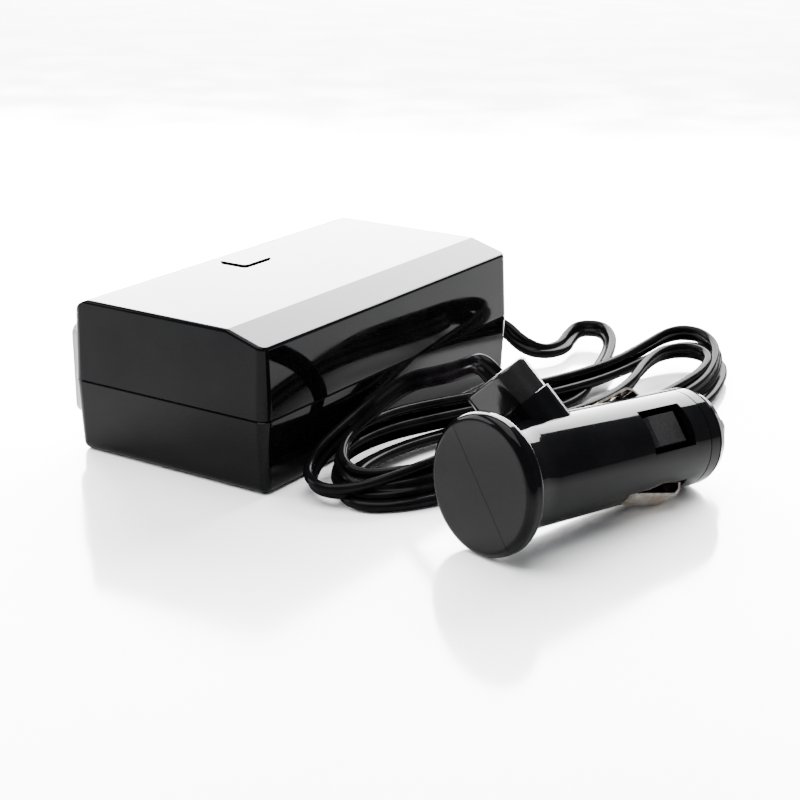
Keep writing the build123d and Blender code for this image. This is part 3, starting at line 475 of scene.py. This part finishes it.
def cord_profile():
    """Cross-section of the twin lead: two round cores side by side with a groove between them."""
    data = bpy.data.curves.new("cord_profile", "CURVE")
    data.dimensions = "2D"
    spline = data.splines.new("POLY")
    core = CORD_THICKNESS / 2
    offset = CORD_WIDTH / 2 - core
    points = []
    for side in (1, -1):
        for k in range(13):
            angle = math.radians(-140 + 280 * k / 12) + (0 if side > 0 else math.pi)
            points.append((side * offset + core * math.cos(angle), core * math.sin(angle)))
    spline.points.add(len(points) - 1)
    for point, (x, y) in zip(spline.points, points):
        point.co = (x, y, 0, 1)
    spline.use_cyclic_u = True
    profile = bpy.data.objects.new("cord_profile", data)
    bpy.context.collection.objects.link(profile)
    profile.hide_render = True
    return profile


def make_cord(material):
    """The whole lead as one spline, from the bushing to the plug's collar."""
    end, facing = collar_exit()
    points = [tuple(bushing_exit())] + CASE_ROUTE + hank_turns() + FOLD_ROUTE
    points += PLUG_ROUTE + [tuple(end + facing * 3.6 * MM), tuple(end)]
    data = bpy.data.curves.new("twin_lead", "CURVE")
    data.dimensions = "3D"
    data.twist_mode = "Z_UP"
    spline = data.splines.new("NURBS")
    spline.points.add(len(points) - 1)
    for point, place in zip(spline.points, points):
        point.co = (*place, 1)
        point.tilt = EDGE_TILT * min(max((place[2] - FLAT_BELOW) / TILT_RISE, 0.0), 1.0)
    spline.order_u = 3
    spline.use_endpoint_u = True
    spline.resolution_u = 12
    data.bevel_mode = "OBJECT"
    data.bevel_object = cord_profile()
    data.use_fill_caps = True
    data.materials.append(material)
    cord = bpy.data.objects.new("twin_lead", data)
    bpy.context.collection.objects.link(cord)
    length = spline_length(cord)
    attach(cord, "case")
    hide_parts("case_cord", "cord_hank", "plug_cord")
    return cord


def spline_length(cord):
    bare = cord.copy()
    bare.data = cord.data.copy()
    bare.data.bevel_mode = "ROUND"
    bare.data.bevel_object = None
    bare.data.bevel_depth = 0
    mesh = bpy.data.meshes.new_from_object(bare)
    places = [v.co for v in mesh.vertices]
    total = sum((b - a).length for a, b in zip(places, places[1:]))
    bpy.data.objects.remove(bare)
    bpy.data.meshes.remove(mesh)
    return total


# ---------------------------------------------------------------- stage
def make_floor():
    bpy.ops.mesh.primitive_plane_add(size=6.0, location=(0.6, 0.4, 0))
    floor = bpy.context.object
    floor.name = "floor"
    floor.data.materials.append(floor_paper())


def make_lights():
    world = bpy.data.worlds.new("world")
    bpy.context.scene.world = world
    world.use_nodes = True
    background = world.node_tree.nodes["Background"]
    background.inputs[0].default_value = linear("f4f6f8")
    background.inputs[1].default_value = 0.6
    centre = (0.0, -0.03, 0.0)
    make_softbox("behind", (1.0, 0.5, 0.56), centre, 1.7, 0.85, 250)
    make_softbox("overhead", (-0.1, 0.15, 1.2), centre, 1.2, 1.2, 50)
    make_softbox("beside", (-0.35, 1.1, 0.5), centre, 1.0, 0.6, 25)


materials = dress_nodes()
make_camera()
make_cord(materials["lead_jacket"])
make_floor()
make_lights()
